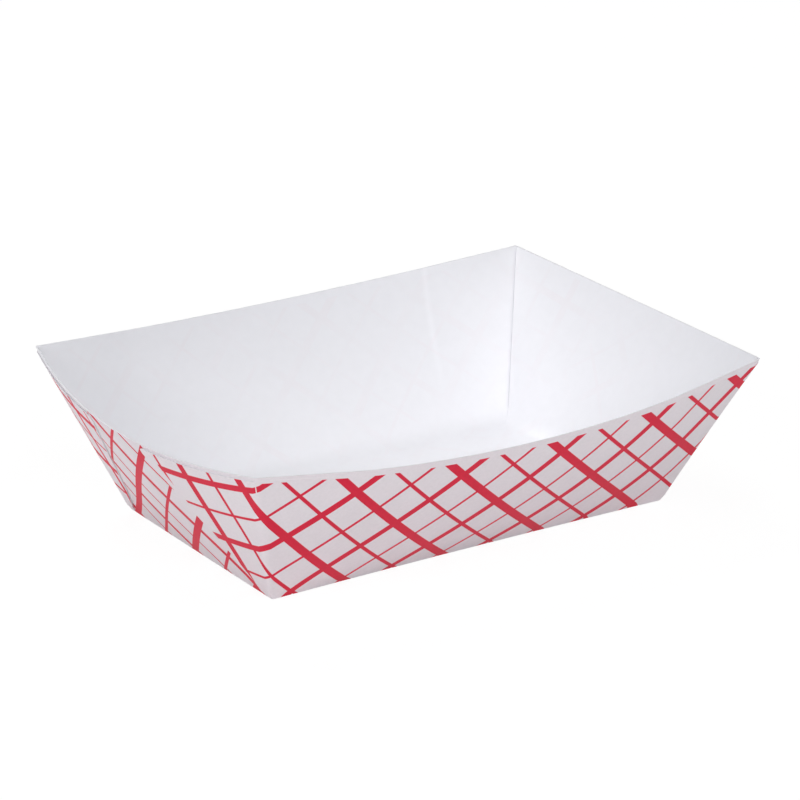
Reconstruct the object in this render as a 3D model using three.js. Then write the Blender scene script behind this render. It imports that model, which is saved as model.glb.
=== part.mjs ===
// Paper food tray: one sheet of coated board, creased and folded into a flared bowl.
// The glue flaps of the two long panels turn the corners and lie on the outside of the end panels.
// Millimetres, +Z up. The origin is the middle of the underside, and the length runs along X.

import * as THREE from 'three'
import { mergeVertices } from 'three/addons/utils/BufferGeometryUtils.js'

const { lerp } = THREE.MathUtils

// Outline, to the outside of the folds
const TOP_LENGTH = 182
const TOP_WIDTH = 131.8
const BASE_LENGTH = 143.6
const BASE_WIDTH = 84.6
const HEIGHT = 50.8

// Sheet
const BOARD = 0.45

// Long panels: the rim is cut lower in its middle and springs outward, and the panel bellies
const SIDE_DIP = 4.7
const SIDE_BOW = 7.6
const SIDE_BELLY = 2.4
const SIDE_CREASE_BOW = 1

// Where the soft crease from each base corner meets the rim, from 0 at the panel's middle to 1 at its end
const SOFT_CREASE = 0.61

// End panels
const END_DIP = 5
const END_BOW = 8.8
const END_BELLY = 1.9

// Folds: how far from the sharp edge each bend begins
const CORNER_FOLD = 1.7
const CREASE_FOLD = 1.1

// Glue flaps: from the corner along the rim to the tip, down to a point at the base
const FLAP_REACH = 48
const FLAP_FOOT = 3
const FLAP_TIP_RADIUS = 3.2
const FLAP_DROP = 0.8

// Seam inside each corner, where the end panel's cut edge stops short of the long panel
const SEAM_WIDTH = 0.35
const SEAM_DEPTH = 0.25

// Steps along and up the panels
const SIDE_STEPS = 26
const FOLD_STEPS = 5
const FLAP_STEPS = 7
const END_STEPS = 8
const WALL_STEPS = 8
const TIP_STEPS = 4

// The middle of the floor and of the underside, one flat rectangle, as a part of the base
const MIDDLE_SHARE = 0.8

const sideRun = (TOP_WIDTH - BASE_WIDTH) / 2
const endRun = (TOP_LENGTH - BASE_LENGTH) / 2
const sideSlant = Math.hypot(sideRun, HEIGHT)
const endSlant = Math.hypot(endRun, HEIGHT)

// Curves along a panel, 1 at its middle and 0 at its ends
const arch = (t) => 1 - t ** 2
const cushion = (t) => 1 - Math.abs(t) ** 5

// How far a panel bellies out of true: flat at its folds, fullest in its middle
const belly = (w, most) => most * 4 * w * (1 - w)

// The same curve along a long panel, which runs straight from the soft crease to the corner
function creased(curve, t, w) {
  const crease = lerp(1, SOFT_CREASE, w)
  const beyond = Math.abs(t) > crease
  return beyond ? curve(crease) * (1 - Math.abs(t)) / (1 - crease) : curve(t)
}

// Half sizes of the box at height w (0 at the base, 1 at the rim), some layers of board further in
const halfLength = (w, inset) => lerp(BASE_LENGTH, TOP_LENGTH, w) / 2 - inset * endSlant / HEIGHT
const halfWidth = (w, inset) => lerp(BASE_WIDTH, TOP_WIDTH, w) / 2 - inset * sideSlant / HEIGHT

// A point of the right end panel, t from -1 at the front to 1 at the back
function endPoint(t, w, skin) {
  const out = belly(w, END_BELLY) * cushion(t)
  return new THREE.Vector3(
    halfLength(w, skin.end) + w * END_BOW * arch(t) + out * HEIGHT / endSlant,
    t * halfWidth(w, skin.side),
    w * (HEIGHT - END_DIP * arch(t)) - out * endRun / endSlant)
}

// A point of the front long panel, t from -1 at the left to 1 at the right
function sidePoint(t, w, skin) {
  const spring = creased(arch, t, w)
  const out = belly(w, SIDE_BELLY) * creased(cushion, t, w)
  return new THREE.Vector3(
    t * halfLength(w, skin.end),
    -halfWidth(w, skin.side) - lerp(-SIDE_CREASE_BOW, SIDE_BOW, w) * spring - out * HEIGHT / sideSlant,
    w * (HEIGHT - SIDE_DIP * spring) - out * sideRun / sideSlant)
}

// Where the panels would meet if the fold were sharp: the front right corner
const cornerPoint = (w, skin) => endPoint(-1, w, skin)

// Mirrors a point of the front right corner to the back right corner
const toBack = (point) => point.setY(-point.y)

// The skins of the folded sheet, as depths of board below the outside of the long panels
const OUTSIDE = { side: 0, end: 0 }
const UNDER_FLAP = { side: 0, end: BOARD }
const INSIDE = { side: BOARD, end: 2 * BOARD }

// A point of the rounded corner fold, s from 0 on the long panel to 1 on the end panel
function foldPoint(s, w, skin) {
  const onSide = sidePoint(1 - CORNER_FOLD / halfLength(w, 0), w, skin)
  const onEnd = endPoint(-1 + CORNER_FOLD / halfWidth(w, 0), w, skin)
  return new THREE.QuadraticBezierCurve3(onSide, cornerPoint(w, skin), onEnd).getPoint(s)
}

// The inside of the corner: along the long panel into the seam, and out over the end panel's cut edge
function seamPoint(step, w, depth) {
  const across = depth > 0 ? SEAM_WIDTH : SEAM_WIDTH / 2
  const stops = [
    INSIDE,
    { side: BOARD, end: 2 * BOARD - depth },
    { side: BOARD + across, end: 2 * BOARD - depth },
    { side: BOARD + across, end: 2 * BOARD },
  ]
  return cornerPoint(w, stops[step - 1])
}

// Distance from the corner to the flap's cut edge at height w, with a rounded tip at the top
function flapWidth(w) {
  const straight = lerp(FLAP_FOOT, FLAP_REACH, w)
  const fromTop = Math.max(0, (1 - w) * HEIGHT - FLAP_DROP)
  const intoTip = Math.max(0, FLAP_TIP_RADIUS - fromTop)
  return straight - FLAP_TIP_RADIUS + Math.sqrt(FLAP_TIP_RADIUS ** 2 - intoTip ** 2)
}

// Each column runs up the outside, over the rim and down the inside of the sheet
function sideColumns() {
  return Array.from({ length: SIDE_STEPS + 1 }, (_, i) => {
    const t = (w) => lerp(-1, 1, i / SIDE_STEPS) * (1 - CORNER_FOLD / halfLength(w, 0))
    return {
      outside: (w, skin) => sidePoint(t(w), w, skin),
      inside: (w) => sidePoint(t(w), w, INSIDE),
    }
  })
}

function foldColumns() {
  return Array.from({ length: FOLD_STEPS - 1 }, (_, i) => ({
    outside: (w, skin) => foldPoint((i + 1) / FOLD_STEPS, w, skin),
    inside: (w, depth) => seamPoint(i + 1, w, depth),
  }))
}

function flapColumns() {
  return Array.from({ length: FLAP_STEPS + 1 }, (_, i) => {
    const t = (w) => -1 + lerp(CORNER_FOLD, flapWidth(w), i / FLAP_STEPS) / halfWidth(w, 0)
    return {
      outside: (w, skin) => endPoint(t(w), w, skin),
      inside: (w) => endPoint(t(w), w, INSIDE),
    }
  })
}

// The bare part of the end panel between its two flaps
function bareColumns() {
  return Array.from({ length: END_STEPS + 1 }, (_, i) => {
    const t = (w) => lerp(-1, 1, i / END_STEPS) * (1 - flapWidth(w) / halfWidth(w, 0))
    return {
      outside: (w) => endPoint(t(w), w, UNDER_FLAP),
      inside: (w) => endPoint(t(w), w, INSIDE),
    }
  })
}

const mirrored = (columns) => columns.toReversed().map((column) => ({
  outside: (...at) => toBack(column.outside(...at)),
  inside: (...at) => toBack(column.inside(...at)),
}))

const turned = (columns) => columns.map((column) => ({
  outside: (...at) => column.outside(...at).multiply(new THREE.Vector3(-1, -1, 1)),
  inside: (...at) => column.inside(...at).multiply(new THREE.Vector3(-1, -1, 1)),
}))

// Once round the tray, counterclockwise from above
function allColumns() {
  const corner = [...foldColumns(), ...flapColumns()]
  const half = [...sideColumns(), ...corner, ...bareColumns(), ...mirrored(corner)]
  return [...half, ...turned(half)]
}

// The bend from the underside up into the panels, s from 0 to 1
function creasePoint(column, s) {
  const under = column.outside(0, UNDER_FLAP)
  const inward = new THREE.Vector3(Math.sign(under.x), Math.sign(under.y), 0).multiplyScalar(-CREASE_FOLD)
  const start = under.clone().add(inward)
  const finish = column.outside(CREASE_FOLD / HEIGHT, UNDER_FLAP)
  return new THREE.QuadraticBezierCurve3(start, under, finish).getPoint(s)
}

// Heights at which the flaps' outline is followed: even steps, then finer ones round the tip
function flapHeights() {
  const top = 1 - FLAP_DROP / HEIGHT
  const tip = top - FLAP_TIP_RADIUS / HEIGHT
  const wall = Array.from({ length: WALL_STEPS }, (_, i) => lerp(CREASE_FOLD / HEIGHT, tip, (i + 1) / WALL_STEPS))
  const round = Array.from({ length: TIP_STEPS }, (_, i) => {
    const angle = (i + 1) / TIP_STEPS * Math.PI / 2
    return lerp(tip, top, Math.sin(angle))
  })
  return [...wall, ...round]
}

function allRings(columns) {
  const heights = flapHeights()
  const floor = BOARD / HEIGHT
  const ring = (place) => columns.map(place)
  return [
    ...[0, 0.5, 1].map((s) => ring((column) => creasePoint(column, s))),
    ...heights.map((w) => ring((column) => column.outside(w, OUTSIDE))),
    ring((column) => column.outside(heights.at(-1), UNDER_FLAP)),
    ring((column) => column.outside(1, UNDER_FLAP)),
    ring((column) => column.inside(1, SEAM_DEPTH)),
    ...heights.toReversed().map((w) => ring((column) => column.inside(w, SEAM_DEPTH))),
    ring((column) => column.inside(floor, 0).setZ(BOARD)),
  ]
}

// The corner of the flat middle rectangle in the same quarter as a point
function middleCorner(point) {
  return new THREE.Vector3(
    (point.x < 0 ? -1 : 1) * BASE_LENGTH / 2 * MIDDLE_SHARE,
    (point.y < 0 ? -1 : 1) * BASE_WIDTH / 2 * MIDDLE_SHARE,
    point.z)
}

// Fills a flat ring: a border out to the ring, and the middle rectangle
function filled(ring) {
  const triangles = []
  const middle = []
  ring.forEach((a, m) => {
    const b = ring[(m + 1) % ring.length]
    const [from, to] = [middleCorner(a), middleCorner(b)]
    triangles.push([a, b, from])
    if (from.equals(to)) return
    triangles.push([b, to, from])
    middle.push(to)
  })
  return [...triangles, [middle[0], middle[1], middle[2]], [middle[0], middle[2], middle[3]]]
}

// Joins neighbouring rings with quads, and fills the first and last
function sheetGeometry() {
  const rings = allRings(allColumns())
  const corners = []
  const triangle = (a, b, c) => corners.push(a, b, c)
  for (let k = 0; k + 1 < rings.length; k++) {
    rings[k].forEach((a, m) => {
      const next = (m + 1) % rings[k].length
      triangle(a, rings[k][next], rings[k + 1][next])
      triangle(a, rings[k + 1][next], rings[k + 1][m])
    })
  }
  filled(rings[0]).forEach(([a, b, c]) => triangle(a, c, b))
  filled(rings.at(-1)).forEach(([a, b, c]) => triangle(a, b, c))
  return closed(new THREE.BufferGeometry().setFromPoints(corners))
}

// Merges shared vertices and drops the triangles that have shrunk to a line
function closed(loose) {
  const geometry = mergeVertices(loose, 1e-4)
  const index = Array.from(geometry.index.array)
  const kept = []
  for (let i = 0; i < index.length; i += 3) {
    const [a, b, c] = index.slice(i, i + 3)
    if (a !== b && b !== c && c !== a) kept.push(a, b, c)
  }
  geometry.setIndex(kept)
  geometry.computeVertexNormals()
  return geometry
}

function coatedBoard() {
  return new THREE.MeshStandardMaterial({ color: 0xf1f1ef, roughness: 0.55, metalness: 0 })
}

const tray = new THREE.Mesh(sheetGeometry(), coatedBoard())
tray.name = 'tray'

const group = new THREE.Group()
group.add(tray)

export default group
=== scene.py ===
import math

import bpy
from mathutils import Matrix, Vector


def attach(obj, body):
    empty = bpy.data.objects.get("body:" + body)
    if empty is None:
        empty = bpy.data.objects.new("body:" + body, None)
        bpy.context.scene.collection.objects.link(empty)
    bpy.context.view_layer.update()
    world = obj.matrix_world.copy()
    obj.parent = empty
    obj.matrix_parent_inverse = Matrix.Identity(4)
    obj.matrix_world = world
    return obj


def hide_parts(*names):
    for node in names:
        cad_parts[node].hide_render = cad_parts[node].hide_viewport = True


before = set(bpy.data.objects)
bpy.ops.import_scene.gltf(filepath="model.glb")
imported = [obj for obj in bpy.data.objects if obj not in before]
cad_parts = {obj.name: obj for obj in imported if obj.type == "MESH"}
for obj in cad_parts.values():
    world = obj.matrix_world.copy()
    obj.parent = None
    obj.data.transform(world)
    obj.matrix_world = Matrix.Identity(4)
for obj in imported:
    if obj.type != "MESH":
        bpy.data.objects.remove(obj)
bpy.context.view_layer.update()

# Paper food tray: the printed and coated board of the folded sheet, seen over one corner.
# Sizes are in millimetres and are turned to metres where the mesh is made.

MM = 0.001

# Outline of the folded sheet, as in the CAD model. The rims of the long panels dip by their own amounts.
TOP_LENGTH = 182.0
TOP_WIDTH = 131.8
BASE_LENGTH = 143.6
BASE_WIDTH = 84.6
HEIGHT = 50.8
BOARD = 0.45

SIDE_DIP = 4.7
FRONT_DIP = 5.9
BACK_DIP = 4.8
SIDE_BOW = 7.6
SIDE_BELLY = 2.4
SIDE_CREASE_BOW = 1.0
SOFT_CREASE = 0.61
END_DIP = 5.0
END_BOW = 8.8
END_BELLY = 0.7

# Folds: how far from the sharp edge each bend begins. The corner folds are tight at the base and the rim.
# The flat edge is a narrow border that keeps the shading of the base and the floor even.
CORNER_FOLD = 2.2
TIGHT_FOLD = 0.8
CREASE_FOLD = 0.7
INNER_BEND = 4.5
FLAT_EDGE = 0.3

# From this share of the height up, the ink has cracked along the corner folds, as wide as CRACK makes it
WORN_FOLD = 0.84
CRACK = 9.0

# How far the flaps at two opposite corners reach, and the bare board along their cut edge at the rim
SHORT_FLAP = (50.5, 0.9)
LONG_FLAP = (55.0, 6.5)
FLAP_FOOT = 3.0
FLAP_TIP_RADIUS = 3.2
FLAP_DROP = 1.4

# The slit inside each corner, between the long panel and the end panel's cut edge
SEAM_WIDTH = 0.35
SEAM_DEPTH = 0.25

# Steps along, round and up the panels, and how much of the base is filled by a fan at each end
SIDE_STEPS = 96
FOLD_STEPS = 10
SEAM_STOPS = 4
FLAP_STEPS = 28
END_STEPS = 20
CREASE_STEPS = 6
WALL_STEPS = 34
TIP_STEPS = 8
FAN_STEPS = 16

# Plaid on the flat sheet: two families of thick and thin lines, askew to the edges. The lean is an extra
# slope of the falling lines on the front right of the sheet. The ink's edge is its softness.
RISING_PITCH = 12.57
FALLING_PITCH = 12.69
PLAID_ANGLE = math.radians(45.1)
RISING_SHIFT = -2.1
FALLING_SHIFT = -103.13
FALLING_LEAN = 0.024
RISING_THICK = 2.85
RISING_THIN = 1.25
FALLING_THICK = 2.55
FALLING_THIN = 1.1
INK_EDGE = 0.06

# Painted highlight along the soft crease inside the back panel, by the crease's distance from the panel's
# middle:
# half the highlight's width, the shares of the height where it fades in, and how much it brightens the
# board
CREASE_TOP = 57.0
CREASE_FOOT = 50.0
CREASE_HIGHLIGHT_HALF_WIDTH = 1.6
CREASE_FADE = (0.25, 0.6)
CREASE_HIGHLIGHT_GAIN = 0.045

# Bare board along the rim by panel
PRINT_MARGIN = {"side": 2.5, "fold": 1.9, "flap": 1.65, "bare": 0.3}

side_run = (TOP_WIDTH - BASE_WIDTH) / 2
end_run = (TOP_LENGTH - BASE_LENGTH) / 2
side_slant = math.hypot(side_run, HEIGHT)
end_slant = math.hypot(end_run, HEIGHT)
corner_slant = math.hypot(side_run, end_slant)


def lerp(a, b, t):
    return a + (b - a) * t


def arch(t):
    """A curve along a panel, 1 at its middle and 0 at its ends."""
    return 1 - t ** 2


def cushion(t):
    return 1 - abs(t) ** 5


def creased(curve, t, w):
    """The same along a long panel, which runs straight from its soft crease to the corner."""
    crease = lerp(1, SOFT_CREASE, w)
    if abs(t) > crease:
        return curve(crease) * (1 - abs(t)) / (1 - crease)
    return curve(t)


def belly(w, most):
    """How far a panel swells out of true, flat at its folds."""
    return most * 4 * w * (1 - w)


def half_length(w, inset=0.0):
    return lerp(BASE_LENGTH, TOP_LENGTH, w) / 2 - inset * end_slant / HEIGHT


def half_width(w, inset=0.0):
    return lerp(BASE_WIDTH, TOP_WIDTH, w) / 2 - inset * side_slant / HEIGHT


# The skins of the folded sheet: depth below the outside of the long panels, on the side and on the end
OUTSIDE = (0.0, 0.0)
UNDER_FLAP = (0.0, BOARD)
INSIDE = (BOARD, 2 * BOARD)


def corner_fold(w):
    return lerp(TIGHT_FOLD, CORNER_FOLD, 4 * w * (1 - w))


def end_point(t, w, skin):
    """A point of the right end panel, t from -1 at the front to 1 at the back."""
    out = belly(w, END_BELLY) * cushion(t)
    return Vector((
        half_length(w, skin[1]) + w * END_BOW * arch(t) + out * HEIGHT / end_slant,
        t * half_width(w, skin[0]),
        w * (HEIGHT - END_DIP * arch(t)) - out * end_run / end_slant))


def side_point(t, w, skin, dip=SIDE_DIP):
    """A point of the front long panel, t from -1 at the left to 1 at the right."""
    spring = creased(arch, t, w)
    out = belly(w, SIDE_BELLY) * creased(cushion, t, w)
    bow = lerp(-SIDE_CREASE_BOW, SIDE_BOW, w) * spring
    return Vector((
        t * half_length(w, skin[1]),
        -half_width(w, skin[0]) - bow - out * HEIGHT / side_slant,
        w * (HEIGHT - dip * spring) - out * side_run / side_slant))


def side_blank(t, w):
    """Where a point of the front long panel lies on the flat sheet."""
    return Vector((t * half_length(w), -BASE_WIDTH / 2 - side_slant * w))


def end_blank(t, w):
    return Vector((BASE_LENGTH / 2 + end_slant * w, t * half_width(w)))


def flap_blank(t, w):
    """The front right flap on the flat sheet, where it continues the front long panel."""
    inward = BASE_WIDTH / 2 - abs(t) * half_width(w)
    up = end_slant * w
    along = (up * end_slant - inward * side_run) / corner_slant
    across = (inward * end_slant + up * side_run) / corner_slant
    edge = Vector((end_run, -side_slant)) / corner_slant
    away = Vector((side_slant, end_run)) / corner_slant
    return Vector((BASE_LENGTH / 2, -BASE_WIDTH / 2)) + edge * along + away * across


def bezier(a, b, c, s):
    return a * (1 - s) ** 2 + b * (2 * s * (1 - s)) + c * s ** 2


def fold_point(s, w, skin):
    """A point of the rounded corner fold, s from 0 on the long panel to 1 on the end panel."""
    on_side = side_point(1 - corner_fold(w) / half_length(w), w, skin)
    on_end = end_point(-1 + corner_fold(w) / half_width(w), w, skin)
    return bezier(on_side, end_point(-1, w, skin), on_end, s)


def fold_blank(s, w):
    on_side = side_blank(1 - corner_fold(w) / half_length(w), w)
    on_flap = flap_blank(-1 + corner_fold(w) / half_width(w), w)
    return on_side.lerp(on_flap, s)


def seam_point(stop, w, depth):
    """The inside of the corner: into the seam and out over the end panel's cut edge."""
    across = BOARD + (SEAM_WIDTH if depth > 0 else SEAM_WIDTH / 2)
    stops = [INSIDE, (BOARD, 2 * BOARD - depth), (across, 2 * BOARD - depth), (across, 2 * BOARD)]
    return end_point(-1, w, stops[stop])


def flap_width(w, reach):
    """Distance from the corner to the flap's cut edge, with a rounded tip at the top."""
    straight = lerp(FLAP_FOOT, reach, w)
    from_top = max(0.0, (1 - w) * HEIGHT - FLAP_DROP)
    into_tip = max(0.0, FLAP_TIP_RADIUS - from_top)
    return straight - FLAP_TIP_RADIUS + math.sqrt(FLAP_TIP_RADIUS ** 2 - into_tip ** 2)


class Column:
    """One line up the outside, over the rim and down the inside of the sheet."""

    def __init__(self, kind, outside, inside, blank, cut, ridge=False):
        self.kind = kind
        self.outside = outside
        self.inside = inside
        self.blank = blank
        self.cut = cut
        self.ridge = ridge

    def moved(self, sx, sy):
        """The column mirrored, by -1, across the length or the width."""
        def mirrored(where):
            def place(*at):
                point = where(*at)
                point.x *= sx
                point.y *= sy
                return point
            return place

        return Column(self.kind, mirrored(self.outside), mirrored(self.inside), mirrored(self.blank),
                      self.cut, self.ridge)


def side_column(i, dip):
    def t(w):
        return lerp(-1, 1, i / SIDE_STEPS) * (1 - corner_fold(w) / half_length(w))

    return Column("side", lambda w, skin: side_point(t(w), w, skin, dip),
                  lambda w, depth: side_point(t(w), w, INSIDE, dip),
                  lambda w: side_blank(t(w), w), lambda w: HEIGHT)


def fold_column(i):
    s = i / FOLD_STEPS
    stop = min(SEAM_STOPS - 1, (i - 1) * SEAM_STOPS // (FOLD_STEPS - 1))
    return Column("fold", lambda w, skin: fold_point(s, w, skin),
                  lambda w, depth: seam_point(stop, w, depth),
                  lambda w: fold_blank(s, w), lambda w: HEIGHT, i == FOLD_STEPS // 2)


def flap_column(i, flap):
    reach, bare = flap

    def t(w):
        return -1 + lerp(corner_fold(w), flap_width(w, reach), i / FLAP_STEPS) / half_width(w)

    def to_cut(w):
        return (flap_width(w, reach) - corner_fold(w)) * (1 - i / FLAP_STEPS) - bare * w ** 2

    return Column("flap", lambda w, skin: end_point(t(w), w, skin),
                  lambda w, depth: end_point(t(w), w, INSIDE),
                  lambda w: flap_blank(t(w), w), to_cut)


def bare_column(i):
    def t(w):
        first = -1 + flap_width(w, SHORT_FLAP[0]) / half_width(w)
        last = 1 - flap_width(w, LONG_FLAP[0]) / half_width(w)
        return lerp(first, last, i / END_STEPS)

    return Column("bare", lambda w, skin: end_point(t(w), w, UNDER_FLAP),
                  lambda w, depth: end_point(t(w), w, INSIDE),
                  lambda w: end_blank(t(w), w), lambda w: HEIGHT)


def corner_columns(flap):
    folded = [fold_column(i) for i in range(1, FOLD_STEPS)]
    return folded + [flap_column(i, flap) for i in range(FLAP_STEPS + 1)]


def half_round(dip):
    """Along the front long panel and round the right end."""
    half = [side_column(i, dip) for i in range(SIDE_STEPS + 1)] + corner_columns(SHORT_FLAP)
    half += [bare_column(i) for i in range(END_STEPS + 1)]
    return half + [column.moved(1, -1) for column in reversed(corner_columns(LONG_FLAP))]


def all_columns():
    """Once round the tray, counterclockwise from above."""
    return half_round(FRONT_DIP) + [column.moved(-1, -1) for column in half_round(BACK_DIP)]


def flap_heights():
    """Heights at which the flaps' outline is followed, finer round the tip."""
    top = 1 - FLAP_DROP / HEIGHT
    tip = top - FLAP_TIP_RADIUS / HEIGHT
    start = CREASE_FOLD / HEIGHT
    wall = [lerp(start, tip, (i + 1) / WALL_STEPS) for i in range(WALL_STEPS)]
    round_tip = [lerp(tip, top, math.sin((i + 1) / TIP_STEPS * math.pi / 2)) for i in range(TIP_STEPS)]
    return wall + round_tip


def further_in(point, reach):
    """A point of the base, moved towards its middle."""
    along = 1 - 2 * reach / BASE_LENGTH
    across = 1 - 2 * reach / BASE_WIDTH
    return Vector((point.x * along, point.y * across, point.z))


def crease_point(column, s):
    """The bend from the underside up into the panels, s from 0 to 1."""
    under = column.outside(0, UNDER_FLAP)
    above = column.outside(CREASE_FOLD / HEIGHT, UNDER_FLAP)
    return bezier(further_in(under, CREASE_FOLD), under, above, s)


def floor_corner(column):
    """Where the floor would meet the inside of the panels without a bend."""
    return column.inside(BOARD / HEIGHT, 0).xy.to_3d() + Vector((0, 0, BOARD))


def inner_bend(column, s):
    """The soft bend from the inside of the panels down to the floor."""
    corner = floor_corner(column)
    above = column.inside(INNER_BEND / HEIGHT, SEAM_DEPTH)
    return bezier(above, corner, further_in(corner, INNER_BEND), s)


class Ring:
    """One line round the tray: where its points are, how high on the sheet, and which side of it."""

    def __init__(self, columns, place, w, face):
        self.points = [place(column) for column in columns]
        self.w = w
        self.face = face


def all_rings(columns):
    """From the underside up the outside, over the rim and down the inside to the floor."""
    heights = flap_heights()
    top = heights[-1]
    base_edge = CREASE_FOLD + FLAT_EDGE
    floor_edge = INNER_BEND + FLAT_EDGE
    rings = [Ring(columns, lambda c: further_in(c.outside(0, UNDER_FLAP), base_edge), 0, "out")]
    for i in range(CREASE_STEPS + 1):
        s = i / CREASE_STEPS
        rings.append(Ring(columns, lambda c, s=s: crease_point(c, s), s * CREASE_FOLD / HEIGHT, "out"))
    for w in heights:
        rings.append(Ring(columns, lambda c, w=w: c.outside(w, OUTSIDE), w, "out"))
    rings.append(Ring(columns, lambda c: c.outside(top, UNDER_FLAP), top, "out"))
    rings.append(Ring(columns, lambda c: c.outside(1, UNDER_FLAP), 1, "out"))
    rings.append(Ring(columns, lambda c: c.inside(1, SEAM_DEPTH), 1, "in"))
    for w in [height for height in reversed(heights) if height > INNER_BEND / HEIGHT]:
        rings.append(Ring(columns, lambda c, w=w: c.inside(w, SEAM_DEPTH), w, "in"))
    for i in range(CREASE_STEPS + 1):
        s = i / CREASE_STEPS
        rings.append(Ring(columns, lambda c, s=s: inner_bend(c, s), (1 - s) * INNER_BEND / HEIGHT, "in"))
    rings.append(Ring(columns, lambda c: further_in(floor_corner(c), floor_edge), 0, "in"))
    return rings


PRINTED, COATED, CUT = range(3)


def face_finish(low, high, left, right, step):
    """Which finish the quad between two rings and two columns has."""
    if low.face == "in" and high.face == "in":
        return COATED
    if low.face != high.face or step:
        return CUT
    if low.w == high.w and "flap" in (left.kind, right.kind):
        return CUT
    return PRINTED


class SheetMesh:
    """Faces with a finish, a place on the flat sheet and a distance to the nearest cut edge."""

    def __init__(self):
        self.points, self.faces, self.finish, self.blank, self.margin = [], [], [], [], []
        self.index = {}

    def vertex(self, point):
        key = tuple(round(c, 4) for c in point)
        if key not in self.index:
            self.index[key] = len(self.points)
            self.points.append(point * MM)
        return self.index[key]

    def face(self, corners, finish):
        kept = []
        for point, blank, margin in corners:
            vertex = self.vertex(point)
            if vertex not in [k[0] for k in kept]:
                kept.append((vertex, blank, margin))
        if len(kept) < 3:
            return
        self.faces.append([k[0] for k in kept])
        self.finish.append(finish)
        self.blank += [k[1] for k in kept]
        self.margin += [k[2] for k in kept]


def rim_margin(column, w):
    """How much print the sheet's edges leave at a point: below nought, the board is bare."""
    if column.ridge and w > WORN_FOLD:
        return -CRACK
    return min((1 - w) * side_slant - PRINT_MARGIN[column.kind], column.cut(w))


def flat_panel(mesh, points, finish, order):
    """The floor or the underside: strips from front to back, and a fan at each end."""
    half = len(points) // 2
    first, last = FAN_STEPS, SIDE_STEPS - FAN_STEPS
    faces = [[points[i], points[i + 1], points[half + SIDE_STEPS - i - 1], points[half + SIDE_STEPS - i]]
             for i in range(first, last)]
    for edge in (points[last:half + first + 1], points[half + last:] + points[:first + 1]):
        hub = sum(edge, Vector()) / len(edge)
        faces += [[hub, a, b] for a, b in zip(edge, edge[1:] + edge[:1])]
    for face in faces:
        mesh.face([(point, point.xy.copy(), HEIGHT) for point in face[::order]], finish)


def sheet_mesh():
    columns = all_columns()
    rings = all_rings(columns)
    mesh = SheetMesh()
    count = len(columns)
    for low, high in zip(rings, rings[1:]):
        for m in range(count):
            n = (m + 1) % count
            left, right = columns[m], columns[n]
            step = {left.kind, right.kind} == {"flap", "bare"}
            finish = face_finish(low, high, left, right, step)
            around = ((low, m, left), (low, n, right), (high, n, right), (high, m, left))
            corners = [(ring.points[k], column.blank(ring.w), rim_margin(column, ring.w))
                       for ring, k, column in around]
            mesh.face(corners, finish)
    flat_panel(mesh, rings[0].points, PRINTED, -1)
    flat_panel(mesh, rings[-1].points, COATED, 1)
    return mesh


# Node helpers

def new_material(name):
    material = bpy.data.materials.new(name)
    material.use_nodes = True
    return material, material.node_tree, material.node_tree.nodes["Principled BSDF"]


def add(tree, kind, **values):
    node = tree.nodes.new(kind)
    for key, value in values.items():
        setattr(node, key, value)
    return node


def math_node(tree, operation, a, b=None, c=None):
    node = tree.nodes.new("ShaderNodeMath")
    node.operation = operation
    for slot, value in enumerate((a, b, c)):
        if value is None:
            continue
        if isinstance(value, (int, float)):
            node.inputs[slot].default_value = value
        else:
            tree.links.new(value, node.inputs[slot])
    return node.outputs[0]


def ramp(tree, value, nought, one):
    """0 at the first level and 1 at the second, clamped between."""
    spread = tree.nodes.new("ShaderNodeMapRange")
    tree.links.new(value, spread.inputs["Value"])
    spread.inputs["From Min"].default_value = nought
    spread.inputs["From Max"].default_value = one
    return spread.outputs["Result"]


def line_mask(tree, along, pitch, shift, width):
    """1 on lines of one width that repeat every second pitch."""
    off = math_node(tree, "SUBTRACT", along, shift)
    wrapped = math_node(tree, "WRAP", off, pitch, -pitch)
    distance = math_node(tree, "ABSOLUTE", wrapped)
    return ramp(tree, distance, width / 2 + INK_EDGE, width / 2 - INK_EDGE)


def blank_parts(tree):
    """Where a point lies on the flat sheet, along and across it."""
    blank = add(tree, "ShaderNodeUVMap", uv_map="blank")
    parts = tree.nodes.new("ShaderNodeSeparateXYZ")
    tree.links.new(blank.outputs["UV"], parts.inputs[0])
    return parts.outputs["X"], parts.outputs["Y"]


def plaid_ink(tree):
    """How much ink lies at a point of the flat sheet, from 0 to 1."""
    x, y = blank_parts(tree)
    cos, sin = math.cos(PLAID_ANGLE), math.sin(PLAID_ANGLE)
    rising = math_node(tree, "SUBTRACT", math_node(tree, "MULTIPLY", x, cos),
                       math_node(tree, "MULTIPLY", y, sin))
    upright = math_node(tree, "ADD", math_node(tree, "MULTIPLY", x, sin),
                        math_node(tree, "MULTIPLY", y, cos))
    lean = math_node(tree, "MAXIMUM", math_node(tree, "MULTIPLY", rising, FALLING_LEAN), 0)
    falling = math_node(tree, "ADD", upright, lean)
    masks = [
        line_mask(tree, rising, RISING_PITCH, RISING_SHIFT, RISING_THICK),
        line_mask(tree, rising, RISING_PITCH, RISING_SHIFT + RISING_PITCH, RISING_THIN),
        line_mask(tree, falling, FALLING_PITCH, FALLING_SHIFT, FALLING_THICK),
        line_mask(tree, falling, FALLING_PITCH, FALLING_SHIFT + FALLING_PITCH, FALLING_THIN),
    ]
    ink = masks[0]
    for mask in masks[1:]:
        ink = math_node(tree, "MAXIMUM", ink, mask)
    margin = add(tree, "ShaderNodeAttribute", attribute_name="margin", attribute_type="GEOMETRY")
    return math_node(tree, "MULTIPLY", ink, ramp(tree, margin.outputs["Fac"], -INK_EDGE, INK_EDGE))


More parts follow.
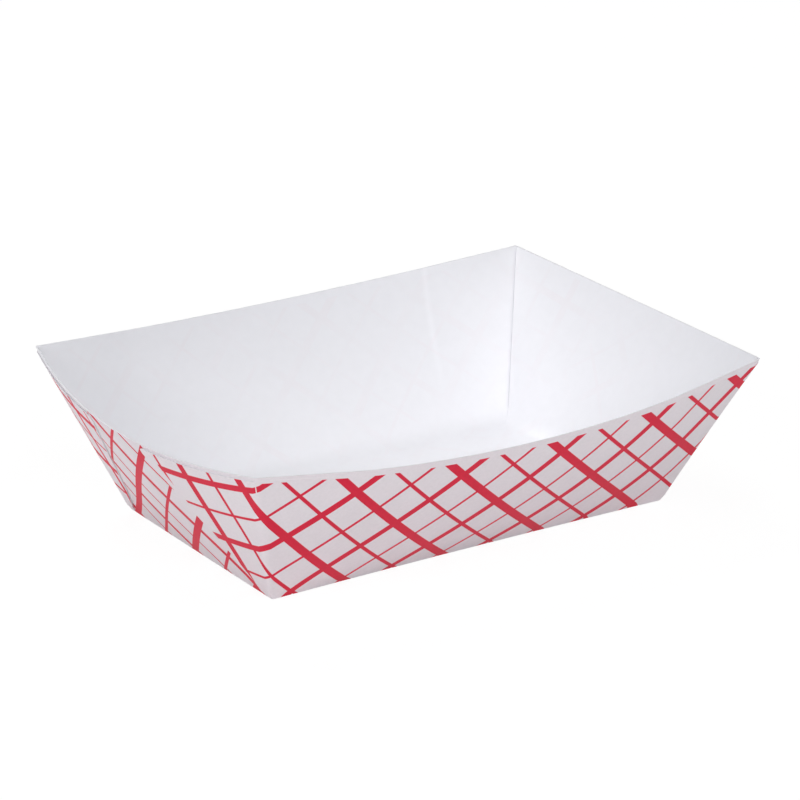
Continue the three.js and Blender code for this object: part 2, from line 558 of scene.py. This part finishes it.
# Colours of the board inside, outside and cut, and of the ink, which shows through faintly inside
BOARD_WHITE = (0.858, 0.858, 0.893, 1)
BOARD_OUTSIDE = (0.875, 0.82, 0.862, 1)
CUT_EDGE = (0.8, 0.8, 0.83, 1)
INK_RED = (0.74, 0.014, 0.05, 1)
SHOWN_THROUGH = 0.018
THROUGH_SCALE = 60

# Cloudiness: its scale, and the lowest and highest brightness
OUTSIDE_CLOUDS = (1100, 0.95, 1.05)
INK_CLOUDS = (700, 0.92, 1.08)
INSIDE_CLOUDS = (330, 0.975, 1.015)
CUT_CLOUDS = (2400, 0.9, 1.1)

PRINTED_ROUGHNESS = 0.6
PRINTED_SHINE = 0.25
COATED_ROUGHNESS = 0.5
CUT_ROUGHNESS = 0.85
SHARP_ANGLE = 35


def mottle(tree, scale, low, high):
    """A soft cloudiness, as clay coating has."""
    coordinate = add(tree, "ShaderNodeTexCoord")
    noise = add(tree, "ShaderNodeTexNoise")
    noise.inputs["Scale"].default_value = scale
    noise.inputs["Detail"].default_value = 3
    tree.links.new(coordinate.outputs["Object"], noise.inputs["Vector"])
    spread = tree.nodes.new("ShaderNodeMapRange")
    tree.links.new(noise.outputs["Fac"], spread.inputs["Value"])
    spread.inputs["To Min"].default_value = low
    spread.inputs["To Max"].default_value = high
    return spread.outputs["Result"]


def mixed(tree, factor, a, b):
    mix = tree.nodes.new("ShaderNodeMix")
    mix.data_type = "RGBA"
    for value, slot in ((factor, 0), (a, 6), (b, 7)):
        if isinstance(value, (int, float, tuple)):
            mix.inputs[slot].default_value = value
        else:
            tree.links.new(value, mix.inputs[slot])
    return mix.outputs[2]


def shade(tree, color, brightness):
    hsv = tree.nodes.new("ShaderNodeHueSaturation")
    hsv.inputs["Color"].default_value = color
    tree.links.new(brightness, hsv.inputs["Value"])
    return hsv.outputs["Color"]


def printed_board():
    material, tree, shader = new_material("printed_board")
    paper = shade(tree, BOARD_OUTSIDE, mottle(tree, *OUTSIDE_CLOUDS))
    ink = shade(tree, INK_RED, mottle(tree, *INK_CLOUDS))
    tree.links.new(mixed(tree, plaid_ink(tree), paper, ink), shader.inputs["Base Color"])
    shader.inputs["Roughness"].default_value = PRINTED_ROUGHNESS
    shader.inputs["Specular IOR Level"].default_value = PRINTED_SHINE
    return material


def painted_crease_highlight(tree):
    """Painted highlight: 1 along the soft crease of the back panel, where it catches the light, falling
    to 0 beside it.
    """
    across, up = blank_parts(tree)
    run = CREASE_TOP - CREASE_FOOT
    length = math.hypot(run, side_slant)
    beside = math_node(tree, "MULTIPLY", math_node(tree, "SUBTRACT", across, CREASE_FOOT),
                       side_slant / length)
    along = math_node(tree, "MULTIPLY", math_node(tree, "SUBTRACT", up, BASE_WIDTH / 2), run / length)
    distance = math_node(tree, "ABSOLUTE", math_node(tree, "SUBTRACT", beside, along))
    near = ramp(tree, distance, CREASE_HIGHLIGHT_HALF_WIDTH, 0)
    faint, full = (BASE_WIDTH / 2 + side_slant * share for share in CREASE_FADE)
    return math_node(tree, "MULTIPLY", near, ramp(tree, up, faint, full))


def coated_board():
    material, tree, shader = new_material("coated_board")
    # The board's brightness carries a painted highlight along the back panel's soft crease
    level = math_node(tree, "MULTIPLY_ADD", painted_crease_highlight(tree), CREASE_HIGHLIGHT_GAIN, mottle(tree, *INSIDE_CLOUDS))
    paper = shade(tree, BOARD_WHITE, level)
    patches = mottle(tree, THROUGH_SCALE, -SHOWN_THROUGH, 2 * SHOWN_THROUGH)
    through = math_node(tree, "MULTIPLY", plaid_ink(tree), patches)
    tree.links.new(mixed(tree, through, paper, INK_RED), shader.inputs["Base Color"])
    shader.inputs["Roughness"].default_value = COATED_ROUGHNESS
    return material


def cut_edge():
    material, tree, shader = new_material("cut_edge")
    tree.links.new(shade(tree, CUT_EDGE, mottle(tree, *CUT_CLOUDS)), shader.inputs["Base Color"])
    shader.inputs["Roughness"].default_value = CUT_ROUGHNESS
    return material


def make_tray():
    sheet = sheet_mesh()
    mesh = bpy.data.meshes.new("folded_sheet")
    mesh.from_pydata(sheet.points, [], sheet.faces)
    for material in (printed_board(), coated_board(), cut_edge()):
        mesh.materials.append(material)
    mesh.polygons.foreach_set("material_index", sheet.finish)
    mesh.polygons.foreach_set("use_smooth", [finish != CUT for finish in sheet.finish])
    blank = mesh.uv_layers.new(name="blank")
    for loop, place in zip(blank.data, sheet.blank):
        loop.uv = place
    margin = mesh.attributes.new("margin", "FLOAT", "CORNER")
    margin.data.foreach_set("value", sheet.margin)
    mesh.set_sharp_from_angle(angle=math.radians(SHARP_ANGLE))
    mesh.update()
    tray = bpy.data.objects.new("folded_sheet", mesh)
    bpy.context.scene.collection.objects.link(tray)
    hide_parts("tray")
    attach(tray, "root")


# Studio

CAMERA_AZIMUTH = -33.15
CAMERA_ELEVATION = 20.63
CAMERA_DISTANCE = 1.203
CAMERA_TARGET = Vector((0.0013, 0, 0.0348))
FRAME_PIXELS = 800
FOCAL_PIXELS = 3884
SENSOR_WIDTH = 36

LIGHT_DISTANCE = 2.2
LIGHT_SIZE = 0.8

# The floor: half its size, how far it lies below the tray, its surface, and its glow to the camera
FLOOR_REACH = 3.0
FLOOR_GAP = 0.0001
FLOOR_COLOR = (0.8, 0.8, 0.8, 1)
FLOOR_ROUGHNESS = 0.9
FLOOR_GLOW = 1.05
GLOW_SHARE = 0.9

# The backdrop: its tint, how bright it looks, and how much light it gives
BACKDROP_TINT = (0.97, 0.98, 1.0, 1)
BACKDROP_SEEN = 1.03
BACKDROP_LIGHT = 0.04


def toward(azimuth, elevation):
    """The direction of a place round the tray, in degrees from the front and up from the floor."""
    turn, lift = math.radians(azimuth), math.radians(elevation)
    return Vector((math.sin(turn) * math.cos(lift), -math.cos(turn) * math.cos(lift), math.sin(lift)))


def make_camera():
    data = bpy.data.cameras.new("camera")
    data.sensor_width = SENSOR_WIDTH
    data.lens = SENSOR_WIDTH * FOCAL_PIXELS / FRAME_PIXELS
    data.clip_end = 20
    camera = bpy.data.objects.new("camera", data)
    back = toward(CAMERA_AZIMUTH, CAMERA_ELEVATION)
    camera.location = CAMERA_TARGET + back * CAMERA_DISTANCE
    camera.rotation_euler = back.to_track_quat("Z", "Y").to_euler()
    bpy.context.scene.collection.objects.link(camera)
    bpy.context.scene.camera = camera


def seen(tree, path):
    """1 for what the camera sees, straight or in a reflection."""
    return math_node(tree, "MAXIMUM", path.outputs["Is Camera Ray"], path.outputs["Is Glossy Ray"])


def make_floor():
    """White, with soft shadows; clear from below, and to light meant for the underside just above it."""
    mesh = bpy.data.meshes.new("floor")
    signs = ((-1, -1), (1, -1), (1, 1), (-1, 1))
    corners = [(x * FLOOR_REACH, y * FLOOR_REACH, -FLOOR_GAP) for x, y in signs]
    mesh.from_pydata(corners, [], [(0, 1, 2, 3)])
    floor = bpy.data.objects.new("floor", mesh)
    bpy.context.scene.collection.objects.link(floor)
    material, tree, shader = new_material("white_floor")
    shader.inputs["Base Color"].default_value = FLOOR_COLOR
    shader.inputs["Roughness"].default_value = FLOOR_ROUGHNESS
    glow = add(tree, "ShaderNodeEmission")
    glow.inputs["Strength"].default_value = FLOOR_GLOW
    path = add(tree, "ShaderNodeLightPath")
    mix = add(tree, "ShaderNodeMixShader")
    tree.links.new(math_node(tree, "MULTIPLY", seen(tree, path), GLOW_SHARE), mix.inputs[0])
    tree.links.new(shader.outputs[0], mix.inputs[1])
    tree.links.new(glow.outputs[0], mix.inputs[2])
    side = add(tree, "ShaderNodeNewGeometry")
    close = math_node(tree, "LESS_THAN", path.outputs["Ray Length"], FLOOR_GAP * 1.5)
    opening = add(tree, "ShaderNodeMixShader")
    tree.links.new(math_node(tree, "MAXIMUM", side.outputs["Backfacing"], close), opening.inputs[0])
    tree.links.new(mix.outputs[0], opening.inputs[1])
    tree.links.new(add(tree, "ShaderNodeBsdfTransparent").outputs[0], opening.inputs[2])
    tree.links.new(opening.outputs[0], tree.nodes["Material Output"].inputs["Surface"])
    mesh.materials.append(material)


def make_world():
    world = bpy.data.worlds.new("studio")
    bpy.context.scene.world = world
    world.use_nodes = True
    tree = world.node_tree
    background = tree.nodes["Background"]
    background.inputs["Color"].default_value = BACKDROP_TINT
    view = seen(tree, add(tree, "ShaderNodeLightPath"))
    level = math_node(tree, "MULTIPLY_ADD", view, BACKDROP_SEEN - BACKDROP_LIGHT, BACKDROP_LIGHT)
    tree.links.new(level, background.inputs["Strength"])


def make_light(name, direction, power):
    data = bpy.data.lights.new(name, "AREA")
    data.shape = "SQUARE"
    data.size = LIGHT_SIZE
    data.energy = power
    light = bpy.data.objects.new(name, data)
    light.location = direction * LIGHT_DISTANCE
    light.rotation_euler = direction.to_track_quat("Z", "Y").to_euler()
    bpy.context.scene.collection.objects.link(light)


make_tray()
make_floor()
make_world()
make_light("left", toward(-85, 30), 18.4)
make_light("front", toward(-10, 30), 18.8)
make_light("right", toward(25, 55), 8.4)
make_light("back", toward(180, 55), 16.4)
make_light("below", toward(0, -90), 16.0)
make_camera()

bpy.context.scene.view_settings.view_transform = "Standard"
